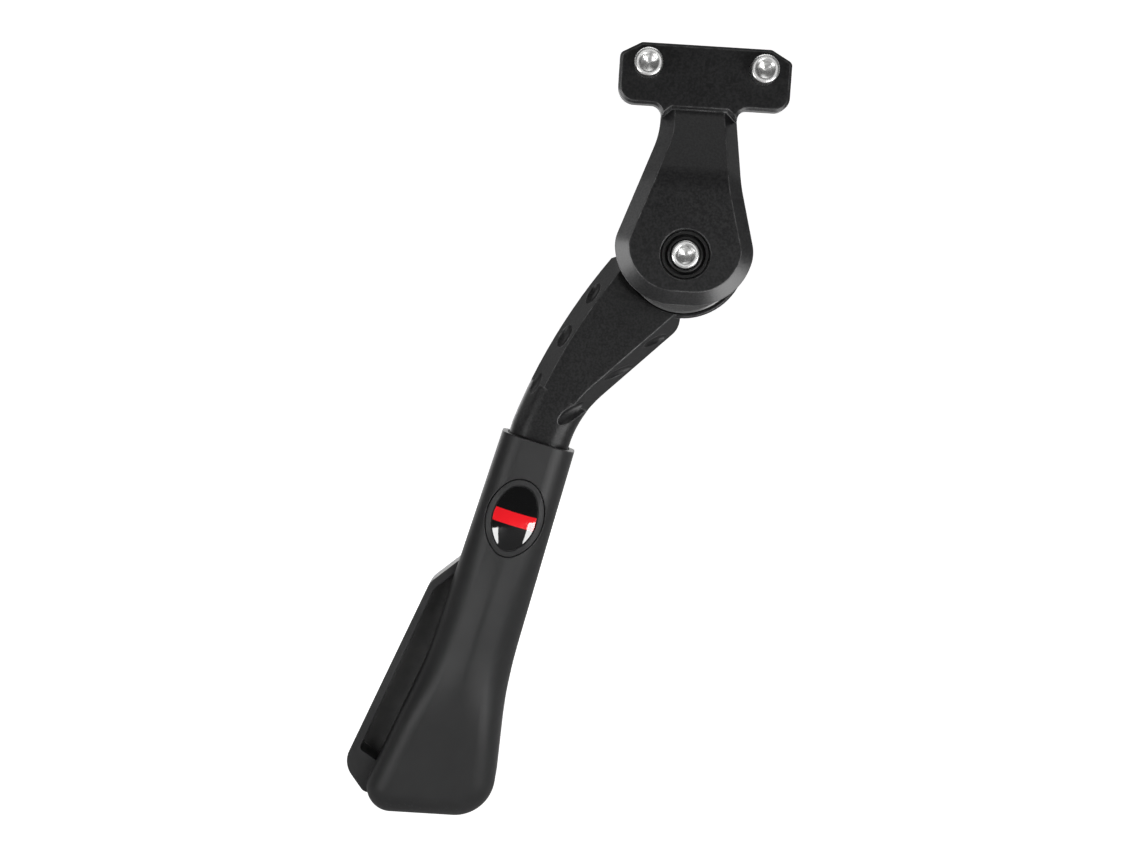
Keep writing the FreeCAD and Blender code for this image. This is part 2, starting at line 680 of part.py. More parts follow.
def cup_washer():
    """Collar washer: flat base under the screw head, a rim round the head and a rim at the edge."""
    edge = COUNTERBORE_R - SCREW_GAP
    base = ring(edge, SCREW_R + SCREW_GAP, SCREW_SEAT, CUP_SEAT)
    inner = ring(HEAD_SCREW_R + 1.1, HEAD_SCREW_R + SCREW_GAP, BOSS_FRONT + 0.4, CUP_SEAT)
    inner = inner.makeFillet(0.3, rim_edges(inner, V(0, -1, 0)))
    outer = ring(edge, edge - 1.0, BOSS_FRONT + 0.7, CUP_SEAT)
    return base.fuse([inner, outer]).removeSplitter()


def lock_nut():
    """Hexagon nut with a collar that holds the locking ring."""
    nut = hexagon(NUT_FLATS, NUT_SEAT, NUT_SEAT + NUT_HEIGHT)
    collar = ring(NUT_FLATS / 2 - 0.3, SCREW_R + 1.2, NUT_SEAT + NUT_HEIGHT, NUT_END)
    nut = nut.cut(rod(SCREW_R + SLIDE_FIT, NUT_SEAT - 1, NUT_SEAT + NUT_HEIGHT + 1))
    return nut.fuse(collar).removeSplitter()


def build():
    """All pieces by node name."""
    places = (V(-BOLT_PITCH / 2, 0, 0), V(BOLT_PITCH / 2, 0, 0))
    screws = [socket_screw(place, PLATE_Y, SCREW_LENGTH, PLATE_THICK) for place in places]
    pin = polar(STOP_R, 180)
    thrust = rod(WASHER_R, BOSS_BACK, BOSS_BACK + WASHER_THICK)
    thrust = thrust.makeChamfer(WASHER_BEVEL, rim_edges(thrust, V(0, -1, 0)))
    thrust = thrust.cut(rod(HUB_R + SCREW_GAP, BOSS_BACK - 1, HEAD_FRONT))
    thrust = thrust.cut(rod(STOP_PIN_R + SCREW_GAP, BOSS_BACK - 1, HEAD_FRONT, pin))
    rear_front = ARM_BACK + SLIDE_FIT
    screw_length = NUT_END + 1.0 - SCREW_SEAT
    screw_waist = NUT_SEAT - 1.0 - SCREW_SEAT
    outward = polar(1, PLUNGER_ANGLE) - PIVOT
    spring_start = polar(PLUNGER_END, PLUNGER_ANGLE) + V(0, PLUNGER_Y, 0)
    button_spring_start = V(foot(0, BUTTON_AT).x, SPRING_SEAT, foot(0, BUTTON_AT).z)
    return {
        "mount_bracket": mount_bracket(),
        "mounting_screws": Part.makeCompound(screws),
        "pivot_screw": socket_screw(PIVOT, SCREW_SEAT, screw_length, screw_waist),
        "cup_washer": cup_washer(),
        "thrust_washer": thrust,
        "stop_pin": rod(STOP_PIN_R, BOSS_BACK - STOP_PIN_SET, HEAD_FRONT + STOP_PIN_REACH, pin),
        "rear_washer": ring(RETAINER_R, HUB_R + SCREW_GAP, rear_front, rear_front + WASHER_THICK),
        "retaining_washer": ring(RETAINER_R, SCREW_R + SCREW_GAP, HUB_END, NUT_SEAT),
        "lock_nut": lock_nut(),
        "lock_ring": ring(SCREW_R + 1.2, SCREW_R + SLIDE_FIT, NUT_SEAT + NUT_HEIGHT, NUT_END - 0.3),
        "leg": leg(),
        "pivot_bush": ring(BUSH_R, HUB_R + RUN_FIT, HEAD_FRONT, BUSH_END),
        "detent_plunger": detent_plunger(),
        "detent_spring": coil(2.1, 0.5, 7, spring_start, outward, DETENT_SPRING_LENGTH),
        "foot_shell": foot_shell(),
        "release_button": release_button(),
        "button_dome": button_dome(),
        "button_spring": coil(2.4, 0.4, 3, button_spring_start, V(0, 1, 0), CHAMBER_BACK - SPRING_SEAT),
    }


os.makedirs("parts", exist_ok=True)
for name, shape in build().items():
    print(name, shape.ShapeType, len(shape.Solids), round(shape.Volume / 1000, 2), "cm3", shape.isValid())
    shape.exportStep("parts/" + name + ".step")
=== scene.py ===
"""Studio scene of a bicycle kickstand with a folding leg and a foot that slides to set its length.

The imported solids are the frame. This script dresses them and adds the fasteners' threads, knurls
and chamfers, the crowned inlay of the button and the coil that the button presses together. The
part's sizes are in millimetres in the fields of the classes and become metres where a mesh or a
node is made. The studio's sizes are in metres.
"""

import json
import logging
import math
from dataclasses import dataclass, field
from enum import Enum
from typing import Any, Callable, Union

import bmesh
import bpy
from mathutils import Matrix, Vector


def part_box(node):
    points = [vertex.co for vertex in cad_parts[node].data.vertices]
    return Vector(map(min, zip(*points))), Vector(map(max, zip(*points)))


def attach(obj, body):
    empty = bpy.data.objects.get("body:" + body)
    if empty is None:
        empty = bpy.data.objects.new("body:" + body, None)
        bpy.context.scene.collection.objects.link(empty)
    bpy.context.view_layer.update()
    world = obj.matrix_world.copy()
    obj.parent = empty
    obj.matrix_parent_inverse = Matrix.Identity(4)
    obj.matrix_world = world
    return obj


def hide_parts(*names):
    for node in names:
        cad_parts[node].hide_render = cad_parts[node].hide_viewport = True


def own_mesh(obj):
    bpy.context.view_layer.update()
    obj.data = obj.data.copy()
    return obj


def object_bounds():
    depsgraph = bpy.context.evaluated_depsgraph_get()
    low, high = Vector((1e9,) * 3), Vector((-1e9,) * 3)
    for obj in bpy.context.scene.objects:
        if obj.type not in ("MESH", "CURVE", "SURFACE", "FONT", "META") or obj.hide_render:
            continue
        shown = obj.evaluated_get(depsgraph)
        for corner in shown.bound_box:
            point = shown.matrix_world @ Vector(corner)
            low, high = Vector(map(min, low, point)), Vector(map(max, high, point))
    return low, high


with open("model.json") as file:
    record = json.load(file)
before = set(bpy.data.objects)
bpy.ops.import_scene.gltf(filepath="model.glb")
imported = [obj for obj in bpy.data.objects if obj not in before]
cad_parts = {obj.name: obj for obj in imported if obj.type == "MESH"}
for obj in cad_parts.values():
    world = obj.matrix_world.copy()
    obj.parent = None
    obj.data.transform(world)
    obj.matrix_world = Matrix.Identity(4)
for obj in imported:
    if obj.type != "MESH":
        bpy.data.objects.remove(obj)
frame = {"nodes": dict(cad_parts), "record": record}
CAD_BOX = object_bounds()

MM = 0.001
LOG = logging.getLogger("kickstand")

Colour = tuple[float, float, float]
Point = tuple[float, float, float]
Shape = Callable[[float], tuple[float, float]]


class Body(Enum):
    """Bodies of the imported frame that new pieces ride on."""

    BRACKET = "bracket"
    FOOT = "foot"
    BUTTON = "button"


class Slot(Enum):
    """Material slots of the record."""

    COATED_ALLOY = "coated_alloy"
    PLATED_STEEL = "plated_steel"
    BLACK_STEEL = "black_steel"
    BARE_STEEL = "bare_steel"
    SPRING_STEEL = "spring_steel"
    BUSH_METAL = "bush_metal"
    WASHER_PLASTIC = "washer_plastic"
    LOCK_PLASTIC = "lock_plastic"
    FOOT_PLASTIC = "foot_plastic"
    BUTTON_PLASTIC = "button_plastic"
    DOME_GLOSS = "dome_gloss"


class Wire:
    """A socket that takes part in Python sums; each operator adds one Math node."""

    def __init__(self, shader: "Shader", socket: bpy.types.NodeSocket) -> None:
        """Keeps the shader that owns the socket, and the socket."""
        self.shader = shader
        self.socket = socket

    def _sum(self, operation: str, first: "Value", second: "Value" = 0.0) -> "Wire":
        """Adds a Math node.

        Args:
            operation: the Math node's operation.
            first: the value of its first socket.
            second: the value of its second socket.

        Returns:
            The node's result.
        """
        return self.shader.node("ShaderNodeMath", {"operation": operation}, {0: first, 1: second})

    def __add__(self, other: "Value") -> "Wire":
        """Sum of both."""
        return self._sum("ADD", self, other)

    def __radd__(self, other: "Value") -> "Wire":
        """Sum of both."""
        return self._sum("ADD", other, self)

    def __sub__(self, other: "Value") -> "Wire":
        """This less the other."""
        return self._sum("SUBTRACT", self, other)

    def __rsub__(self, other: "Value") -> "Wire":
        """The other less this."""
        return self._sum("SUBTRACT", other, self)

    def __mul__(self, other: "Value") -> "Wire":
        """Product of both."""
        return self._sum("MULTIPLY", self, other)

    def __abs__(self) -> "Wire":
        """Size without its sign."""
        return self._sum("ABSOLUTE", self)

    def lower(self, other: "Value") -> "Wire":
        """The lower of both."""
        return self._sum("MINIMUM", self, other)

    def step(self, start: float, end: float) -> "Wire":
        """Smooth rise from 0 at start to 1 at end, or a fall where end is below start.

        Args:
            start: where the result is 0.
            end: where the result is 1.

        Returns:
            A value from 0 to 1.
        """
        sockets = {
            "Value": self,
            "From Min": min(start, end),
            "From Max": max(start, end),
            "To Min": float(start > end),
            "To Max": float(end > start),
        }
        return self.shader.node("ShaderNodeMapRange", {"interpolation_type": "SMOOTHSTEP"}, sockets)


Value = Union[Wire, float]


class Shader:
    """A material and the nodes that make it."""

    output: str = "ShaderNodeOutputMaterial"
    octave_share: float = 0.55
    bevel_samples: int = 6
    edge_turn: tuple[float, float] = (0.004, 0.09)
    crease_samples: int = 8
    crease_light: tuple[float, float] = (0.93, 0.76)

    def __init__(self, name: str) -> None:
        """Starts an empty material.

        Args:
            name: the material's name.
        """
        self.material = bpy.data.materials.new(name)
        self.material.use_nodes = True
        self.tree = self.material.node_tree
        self.tree.nodes.clear()
        self.place = self.node("ShaderNodeTexCoord", output="Object")

    def node(
        self,
        kind: str,
        settings: Union[dict, None] = None,
        sockets: Union[dict, None] = None,
        output: Union[str, int] = 0,
    ) -> Wire:
        """Adds any node.

        Args:
            kind: the node's type.
            settings: its properties.
            sockets: values or wires by the socket's name or number.
            output: name or number of the output that is wanted.

        Returns:
            That output.
        """
        made = self.tree.nodes.new(kind)
        for key, value in (settings or {}).items():
            setattr(made, key, value)
        for key, value in (sockets or {}).items():
            if isinstance(value, Wire):
                self.tree.links.new(value.socket, made.inputs[key])
            else:
                made.inputs[key].default_value = value
        return Wire(self, made.outputs[output])

    def noise(self, size_mm: float, detail: float) -> Wire:
        """Noise whose blots are about a size across.

        Args:
            size_mm: size of a blot.
            detail: octaves of finer noise in it.

        Returns:
            A value from 0 to 1.
        """
        sockets = {
            "Vector": self.place,
            "Scale": 1.0 / (size_mm * MM),
            "Detail": detail,
            "Roughness": self.octave_share,
        }
        return self.node("ShaderNodeTexNoise", None, sockets, "Fac")

    def along(self, direction: Point, centre: Point = (0.0, 0.0, 0.0)) -> Wire:
        """Distance in metres from a centre along a direction.

        Args:
            direction: a vector of length 1.
            centre: the point, in millimetres, where the distance is 0.

        Returns:
            The distance.
        """
        spot = [c * MM for c in centre]
        moved = self.node("ShaderNodeVectorMath", {"operation": "SUBTRACT"}, {0: self.place, 1: spot})
        return self.dot(moved, direction)

    def dot(self, first: Wire, second: Union[Wire, Point]) -> Wire:
        """Dot product of two vectors."""
        settings = {"operation": "DOT_PRODUCT"}
        return self.node("ShaderNodeVectorMath", settings, {0: first, 1: second}, "Value")

    def mix(self, share: Wire, first: Union[Wire, Colour], second: Union[Wire, Colour]) -> Wire:
        """Blend of two colours.

        Args:
            share: 0 for the first, 1 for the second.
            first: a colour.
            second: a colour.

        Returns:
            The blended colour.
        """
        def full(colour: Union[Wire, Colour]) -> Any:
            """A colour as a socket takes it."""
            return colour if isinstance(colour, Wire) else (*colour, 1.0)

        sockets = {0: share, 6: full(first), 7: full(second)}
        return self.node("ShaderNodeMix", {"data_type": "RGBA"}, sockets, 2)

    def edges(self, radius_mm: float) -> tuple[Wire, Wire]:
        """Softened edges.

        Args:
            radius_mm: the edges' rounding.

        Returns:
            The rounded normal, and a mask that is 1 at the edges.
        """
        settings = {"samples": self.bevel_samples}
        rounded = self.node("ShaderNodeBevel", settings, {"Radius": radius_mm * MM})
        true = self.node("ShaderNodeNewGeometry", None, None, "Normal")
        return rounded, (1.0 - self.dot(rounded, true)).step(*self.edge_turn)

    def creases(self, reach_mm: float) -> Wire:
        """A mask from ambient occlusion that is 1 in inner corners and narrow gaps, where shade falls.

        Args:
            reach_mm: how far away a neighbour still counts.

        Returns:
            The mask.
        """
        settings = {"samples": self.crease_samples}
        light = self.node("ShaderNodeAmbientOcclusion", settings, {"Distance": reach_mm * MM}, "AO")
        return light.step(*self.crease_light)

    def bump(
        self, height: Wire, depth_mm: float, strength: float, normal: Union[Wire, None] = None,
    ) -> Wire:
        """Relief of a surface.

        Args:
            height: 0 at the bottom of the relief and 1 at its top.
            depth_mm: the relief's depth.
            strength: how much of it shows.
            normal: the normal that it starts from.

        Returns:
            The bent normal.
        """
        sockets = {"Height": height, "Distance": depth_mm * MM, "Strength": strength}
        if normal is not None:
            sockets["Normal"] = normal
        return self.node("ShaderNodeBump", None, sockets)

    def finish(self, **sockets: Any) -> bpy.types.Material:
        """Ends the material with a Principled shader.

        Args:
            sockets: its sockets, with _ for a space in their names.

        Returns:
            The material.
        """
        named = {key.replace("_", " "): value for key, value in sockets.items()}
        surface = self.node("ShaderNodeBsdfPrincipled", None, named)
        self.node_output(surface)
        return self.material

    def rays(self) -> tuple[Wire, ...]:
        """Tells the kinds of rays apart.

        Returns:
            Values that are 1 for rays of the camera, of gloss and of clear matter.
        """
        path = self.tree.nodes.new("ShaderNodeLightPath").outputs
        kinds = ("Camera", "Glossy", "Transmission")
        return tuple(Wire(self, path[f"Is {kind} Ray"]) for kind in kinds)

    def node_output(self, surface: Wire) -> None:
        """Joins a shader to the output."""
        out = self.tree.nodes.new(self.output)
        self.tree.links.new(surface.socket, out.inputs["Surface"])


class Room(Shader):
    """The world and the nodes that make it; its place is the direction that is looked in."""

    output: str = "ShaderNodeOutputWorld"

    def __init__(self, name: str) -> None:
        """Starts an empty world and makes it the scene's.

        Args:
            name: the world's name.
        """
        world = bpy.data.worlds.new(name)
        world.use_nodes = True
        bpy.context.scene.world = world
        self.tree = world.node_tree
        self.tree.nodes.clear()
        self.place = self.node("ShaderNodeTexCoord", output="Generated")


@dataclass(frozen=True)
class CoatedAlloy:
    """Satin black coating with a fine grain. Its edges are lightened, partly as rubbed wear and partly
    as a painted highlight, and its corners around the pivot carry painted shade.
    """

    name: str = "satin_black_coat"
    dark: Colour = (0.0065, 0.0065, 0.0070)
    light: Colour = (0.0190, 0.0190, 0.0195)
    rubbed_and_highlight: Colour = (0.210, 0.210, 0.212)
    painted_shade: Colour = (0.0022, 0.0022, 0.0022)
    grain_mm: float = 0.70
    roughness: float = 0.39
    edge_mm: float = 0.75
    pit_scale: float = 2.6
    cloud_mm: float = 26.0
    rub_and_highlight_mm: float = 3.4
    painted_shade_mm: float = 7.0
    painted_shade_ends: float = 42.0
    painted_shade_full: float = 30.0
    pivot: Point = (0.0, 0.0, 0.0)

    def make(self) -> bpy.types.Material:
        """Builds the material.

        Returns:
            The material.
        """
        s = Shader(self.name)
        grain = s.noise(self.grain_mm, 3.0)
        pits = s.noise(self.grain_mm * self.pit_scale, 2.0)
        cloud = s.noise(self.cloud_mm, 2.0)
        normal, edge = s.edges(self.edge_mm)
        aside, over = s.along((1.0, 0.0, 0.0), self.pivot), s.along((0.0, 0.0, 1.0), self.pivot)
        ends, full = (self.painted_shade_ends * MM) ** 2, (self.painted_shade_full * MM) ** 2
        # painted shade: corners and gaps near the pivot are darkened and made glossier, where the boss
        # shades the leg
        painted_shade = s.creases(self.painted_shade_mm) * (aside * aside + over * over).step(ends, full)
        # painted highlight and wear: every edge is lightened a little, and more in rubbed patches,
        # partly as wear and partly as a painted highlight line
        rub_and_highlight = edge * (1.0 - painted_shade) * (s.noise(self.rub_and_highlight_mm, 3.0).step(0.30, 0.65) * 0.65 + 0.15)
        colour = s.mix(grain.step(0.34, 0.66), self.dark, self.light)
        dull = self.roughness + (grain - 0.5) * 0.26 + (cloud - 0.5) * 0.10 - rub_and_highlight * 0.10
        return s.finish(
            Base_Color=s.mix(painted_shade, s.mix(rub_and_highlight, colour, self.rubbed_and_highlight), self.painted_shade),
            Roughness=dull - painted_shade * 0.20,
            Specular_IOR_Level=0.42,
            Normal=s.bump(grain * 0.65 + pits * 0.35, 0.08, 0.45, normal),
        )


@dataclass(frozen=True)
class MouldedPlastic:
    """Matte moulded plastic with a spark-worn mould grain."""

    name: str
    dark: Colour
    light: Colour
    roughness: float = 0.52
    grain_mm: float = 0.34
    edge_mm: float = 0.5
    cloud_mm: float = 18.0
    scuff_mm: float = 2.2

    def form(self, s: Shader, normal: Wire) -> Wire:
        """The normal that the grain starts from: the edges' own here."""
        return normal

    def wear_and_painted_light(self, s: Shader, colour: Wire) -> Wire:
        """The colour with what use leaves on it and any painted light: nothing here."""
        return colour

    def make(self) -> bpy.types.Material:
        """Builds the material.

        Returns:
            The material.
        """
        s = Shader(self.name)
        grain = s.noise(self.grain_mm, 2.0)
        cloud = s.noise(self.cloud_mm, 3.0)
        normal, edge = s.edges(self.edge_mm)
        scuff = edge * s.noise(self.scuff_mm, 3.0).step(0.45, 0.75) * 0.35
        colour = s.mix(cloud.step(0.25, 0.75), self.dark, self.light)
        pale = tuple(c * 2.6 + 0.012 for c in self.light)
        rough = self.roughness + (grain - 0.5) * 0.14 + (cloud - 0.5) * 0.03 + scuff * 0.12
        return s.finish(
            Base_Color=self.wear_and_painted_light(s, s.mix(scuff, colour, pale)),
            Roughness=rough,
            Specular_IOR_Level=0.45,
            Normal=s.bump(grain, 0.04, 0.38, self.form(s, normal)),
        )


@dataclass(frozen=True)
class FootPlastic(MouldedPlastic):
    """Plastic of the foot: crowned between its sides, scuffed by the sole, and lighter far back, where
    painted light brightens the floor of the wing's pocket.
    """

    mouth: Point = (0.0, 0.0, 0.0)
    down: Point = (0.0, 0.0, -1.0)
    sole: float = 0.0
    scuffed: Colour = (0.085, 0.085, 0.086)
    painted_light: Colour = (0.090, 0.090, 0.089)
    half_width: float = 13.4
    knee: float = 87.0
    bend: float = 17.0
    taper: float = 0.018
    flare: float = 0.17
    reach: float = 16.0
    crown: float = 3.4
    crown_rises: tuple[float, float] = (20.0, 70.0)
    crown_fades: tuple[float, float] = (112.0, 76.0)
    scuff_rises: tuple[float, float] = (9.0, 1.0)
    painted_light_rises: tuple[float, float] = (5.5, 9.5)

    def form(self, s: Shader, normal: Wire) -> Wire:
        """The normal of a front that falls off softly towards both sides.

        Args:
            s: the shader that is built.
            normal: the normal with the edges' rounding.

        Returns:
            The normal with the crown.
        """
        along = s.along(self.down, self.mouth)
        across = s.along((-self.down[2], 0.0, self.down[0]), self.mouth)
        past = along.step((self.knee - self.bend) * MM, (self.knee + self.bend) * MM)
        spread = (along - self.knee * MM) * past
        half = self.half_width * MM + along * self.taper + spread * self.flare
        fall = (half - across).step(self.reach * MM, 0.0) + (half + across).step(self.reach * MM, 0.0)
        rise = along.step(*(place * MM for place in self.crown_rises))
        fade = along.step(*(place * MM for place in self.crown_fades))
        return s.bump(1.0 - fall * (rise * fade), self.crown, 1.0, normal)

    def wear_and_painted_light(self, s: Shader, colour: Wire) -> Wire:
        """The colour with scuffs by the sole and painted light far back, which lightens the floor of
        the wing's pocket.

        Args:
            s: the shader that is built.
            colour: the plastic's own colour.

        Returns:
            The colour with both.
        """
        low = s.along((0.0, 0.0, 1.0)).step(*((self.sole + height) * MM for height in self.scuff_rises))
        scuffed = s.mix(low * s.noise(1.1, 4.0).step(0.56, 0.72) * 0.5, colour, self.scuffed)
        # painted light: the far back of the foot, where the wing's pocket floor lies, is lightened in
        # place of light falling there
        deep = s.along((0.0, 1.0, 0.0)).step(*(depth * MM for depth in self.painted_light_rises))
        return s.mix(deep * (s.noise(6.0, 3.0).step(0.2, 0.8) * 0.4 + 0.55), scuffed, self.painted_light)


@dataclass(frozen=True)
class Metal:
    """Bare or plated metal with fine drawn marks."""

    name: str
    bright: Colour
    dull: Colour
    roughness: float
    mark_mm: float = 0.16
    edge_mm: float = 0.15
    cloud_mm: float = 4.5

    def make(self) -> bpy.types.Material:
        """Builds the material.

        Returns:
            The material.
        """
        s = Shader(self.name)
        marks = s.noise(self.mark_mm, 3.0)
        cloud = s.noise(self.cloud_mm, 3.0)
        normal, edge = s.edges(self.edge_mm)
        return s.finish(
            Base_Color=s.mix(cloud.step(0.35, 0.8), self.bright, self.dull),
            Metallic=1.0,
            Roughness=self.roughness + (marks - 0.5) * 0.10 + (cloud - 0.5) * 0.10 - edge * 0.04,
            Normal=s.bump(marks, 0.01, 0.18, normal),
        )


@dataclass(frozen=True)
class GlossInlay:
    """Clear gloss over black, with one plain red band across the middle."""

    name: str = "gloss_inlay"
    black: Colour = (0.0022, 0.0022, 0.0024)
    red: Colour = (0.86, 0.010, 0.018)
    centre: Point = (0.0, 0.0, 0.0)
    axis: Point = (0.0, 0.0, -1.0)
    half_band: float = 2.4
    blur: float = 0.12
    flake_mm: float = 0.22
    peel_mm: float = 3.2

    def make(self) -> bpy.types.Material:
        """Builds the material.

        Returns:
            The material.
        """
        s = Shader(self.name)
        away = abs(s.along(self.axis, self.centre))
        band = away.step((self.half_band + self.blur) * MM, (self.half_band - self.blur) * MM)
        flake = s.noise(self.flake_mm, 2.0)
        red = s.mix(flake, self.red, tuple(c * 0.9 for c in self.red))
        peel = s.noise(self.peel_mm, 1.0)
        return s.finish(
            Base_Color=s.mix(band, self.black, red),
            Roughness=0.045 + (flake - 0.5) * 0.02,
            Specular_IOR_Level=0.5,
            Normal=s.bump(peel, 0.02, 0.10),
        )


@dataclass(frozen=True)
class Finishes:
    """All finishes of the part by record slot."""

    pivot: Point
    foot_axis: Point
    foot_mouth: Point
    button_centre: Point
    sole: float

    def table(self) -> dict[Slot, bpy.types.Material]:
        """Builds every material.

        Returns:
            The materials by slot.
        """
        made = {
            Slot.COATED_ALLOY: CoatedAlloy(pivot=self.pivot),
            Slot.PLATED_STEEL: Metal("bright_zinc", (0.88, 0.88, 0.87), (0.74, 0.74, 0.73), 0.27),
            Slot.BLACK_STEEL: MouldedPlastic(
                "black_oxide", (0.016, 0.016, 0.016), (0.024, 0.024, 0.024), 0.30, 0.2, 0.2),
            Slot.BARE_STEEL: Metal("ground_steel", (0.58, 0.57, 0.56), (0.51, 0.51, 0.51), 0.30),
            Slot.SPRING_STEEL: Metal("drawn_wire", (0.45, 0.45, 0.46), (0.26, 0.26, 0.27), 0.32),
            Slot.BUSH_METAL: Metal(
                "sintered_bronze", (0.56, 0.36, 0.17), (0.34, 0.20, 0.09), 0.42, 0.3),
            Slot.WASHER_PLASTIC: MouldedPlastic(
                "black_nylon", (0.070, 0.070, 0.070), (0.085, 0.085, 0.085), 0.26, 0.3, 0.3),
            Slot.LOCK_PLASTIC: MouldedPlastic(
                "white_nylon", (0.52, 0.52, 0.49), (0.62, 0.62, 0.59), 0.40, 0.3, 0.2),
            Slot.FOOT_PLASTIC: FootPlastic(
                "foot_plastic", (0.022, 0.022, 0.0225), (0.029, 0.029, 0.0295), 0.43,
                mouth=self.foot_mouth, down=self.foot_axis, sole=self.sole),
            Slot.BUTTON_PLASTIC: MouldedPlastic(
                "button_plastic", (0.020, 0.020, 0.0205), (0.027, 0.027, 0.0275), 0.44),
            Slot.DOME_GLOSS: GlossInlay(centre=self.button_centre, axis=self.foot_axis),
        }
        return {slot: finish.make() for slot, finish in made.items()}


def hexagon(flats: float, angle: float) -> float:
    """Radius of a hexagon at an angle.

    Args:
        flats: width across the flats.
        angle: the angle from a corner, in radians.

    Returns:
        The distance from the middle to the hexagon's side.
    """
    third = math.pi / 3
    return flats / 2 / math.cos((angle + 2 * math.pi) % third - third / 2)


def at(radius: float, height: float) -> Shape:
    """A round ring of one radius at one height."""
    return lambda angle: (radius, height)


class Turning:
    """A mesh that grows ring by ring from a circle, along +Z, in millimetres."""

    def __init__(self, segments: int, first: Shape) -> None:
        """Starts with one ring.

        Args:
            segments: vertices in each ring.
            first: radius and height of the ring by angle.
        """
        self.bm = bmesh.new()
        circle = bmesh.ops.create_circle(self.bm, cap_ends=False, segments=segments, radius=1.0)
        self.ring = list(circle["verts"])
        self.first = self._edges()
        self._place(first)

    def _edges(self) -> list[bmesh.types.BMEdge]:
        """Edges of the present ring."""
        ring = set(self.ring)
        return [e for e in self.bm.edges if ring.issuperset(e.verts)]

    def _place(self, shape: Shape) -> None:
        """Moves the present ring's vertices to a shape.

        Args:
            shape: radius and height by angle.
        """
        for vert in self.ring:
            radius, height = shape(math.atan2(vert.co.y, vert.co.x))
            out = Vector((vert.co.x, vert.co.y, 0.0)).normalized()
            vert.co = out * radius + Vector((0.0, 0.0, height))

    def grow(self, *shapes: Shape) -> "Turning":
        """Adds rings.

        Args:
            shapes: radius and height of each new ring by angle.

        Returns:
            The turning itself.
        """
        for shape in shapes:
            out = bmesh.ops.extrude_edge_only(self.bm, edges=self._edges())["geom"]
            self.ring = [g for g in out if isinstance(g, bmesh.types.BMVert)]
            self._place(shape)
        return self

    def cap(self) -> "Turning":
        """Closes every open ring with a face."""
        bmesh.ops.holes_fill(self.bm, edges=[e for e in self.bm.edges if e.is_boundary], sides=0)
        return self

    def join(self) -> "Turning":
        """Joins the last ring to the first, for a piece with a bore."""
        bmesh.ops.bridge_loops(self.bm, edges=self._edges() + self.first)
        return self


def thread(top: float, bottom: float, crest: float, root: float, pitch: float) -> bmesh.types.BMesh:
    """A threaded shank along Z with a pointed-off lower end.

    Args:
        top: height where it starts.
        bottom: height where it ends.
        crest: outer radius of the thread.
        root: inner radius of the thread.
        pitch: rise in one turn.

    Returns:
        A closed mesh, in millimetres.
    """
    bm = bmesh.new()
    steps = 40
    tip, slope = root - 0.15, 0.8
    turns = math.ceil((top - bottom) / pitch) + 2
    outline = ((root, 0.0), (root, 0.08), (crest, 0.44), (crest, 0.56), (root, 0.92), (root, 1.0))
    verts = [bm.verts.new((r, 0.0, bottom + (h - 1.5) * pitch)) for r, h in outline]
    edges = [bm.edges.new(pair) for pair in zip(verts, verts[1:])]
    bmesh.ops.spin(
        bm, geom=verts + edges, cent=(0, 0, 0), axis=(0, 0, 1), dvec=(0, 0, pitch / steps),
        angle=2 * math.pi * turns, steps=steps * turns, use_merge=False,
    )
    bmesh.ops.remove_doubles(bm, verts=bm.verts, dist=pitch * 0.01)
    for height, way in ((top, 1.0), (bottom, -1.0)):
        everything = bm.verts[:] + bm.edges[:] + bm.faces[:]
        bmesh.ops.bisect_plane(
            bm, geom=everything, dist=1e-5, plane_co=(0, 0, height), plane_no=(0, 0, way),
            clear_outer=True,
        )
    bmesh.ops.holes_fill(bm, edges=[e for e in bm.edges if e.is_boundary], sides=0)
    for vert in bm.verts:
        reach = math.hypot(vert.co.x, vert.co.y)
        most = tip + max(0.0, vert.co.z - bottom) * slope
        if reach > most:
            vert.co.x *= most / reach
            vert.co.y *= most / reach
    return bm


@dataclass
class Piece:
    """One new piece of the part: its meshes, where it rides and what it stands for."""

    name: str
    body: Body
    slot: Slot
    replaces: tuple[str, ...] = ()
    sharp: float = 32.0
    meshes: list[bmesh.types.BMesh] = field(default_factory=list)

    def add(self, bm: bmesh.types.BMesh, place: Matrix) -> None:
        """Takes a mesh in millimetres into the piece.

        Args:
            bm: the mesh.
            place: its place in the frame, in millimetres.
        """
        bmesh.ops.recalc_face_normals(bm, faces=bm.faces)
        bmesh.ops.transform(bm, matrix=Matrix.Scale(MM, 4) @ place, verts=bm.verts)
        self.meshes.append(bm)

    def make(self, materials: dict[Slot, bpy.types.Material]) -> bpy.types.Object:
        """Joins the meshes to one object and sets it on its body.

        Args:
            materials: the materials by slot.

        Returns:
            The object.
        """
        mesh = bpy.data.meshes.new(self.name)
        whole = bmesh.new()
        for bm in self.meshes:
            bm.to_mesh(mesh)
            bm.free()
            whole.from_mesh(mesh)
        whole.to_mesh(mesh)
        whole.free()
        mesh.shade_smooth()
        mesh.set_sharp_from_angle(angle=math.radians(self.sharp))
        mesh.materials.append(materials[self.slot])
        piece = bpy.data.objects.new(self.name, mesh)
        bpy.context.scene.collection.objects.link(piece)
        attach(piece, self.body.value)
        if self.replaces:
            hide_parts(*self.replaces)
        LOG.info("%s: %d faces on %s", self.name, len(mesh.polygons), self.body.value)
        return piece


OUTWARD = Matrix.Rotation(math.pi / 2, 4, "X")
INWARD = Matrix.Rotation(-math.pi / 2, 4, "X")


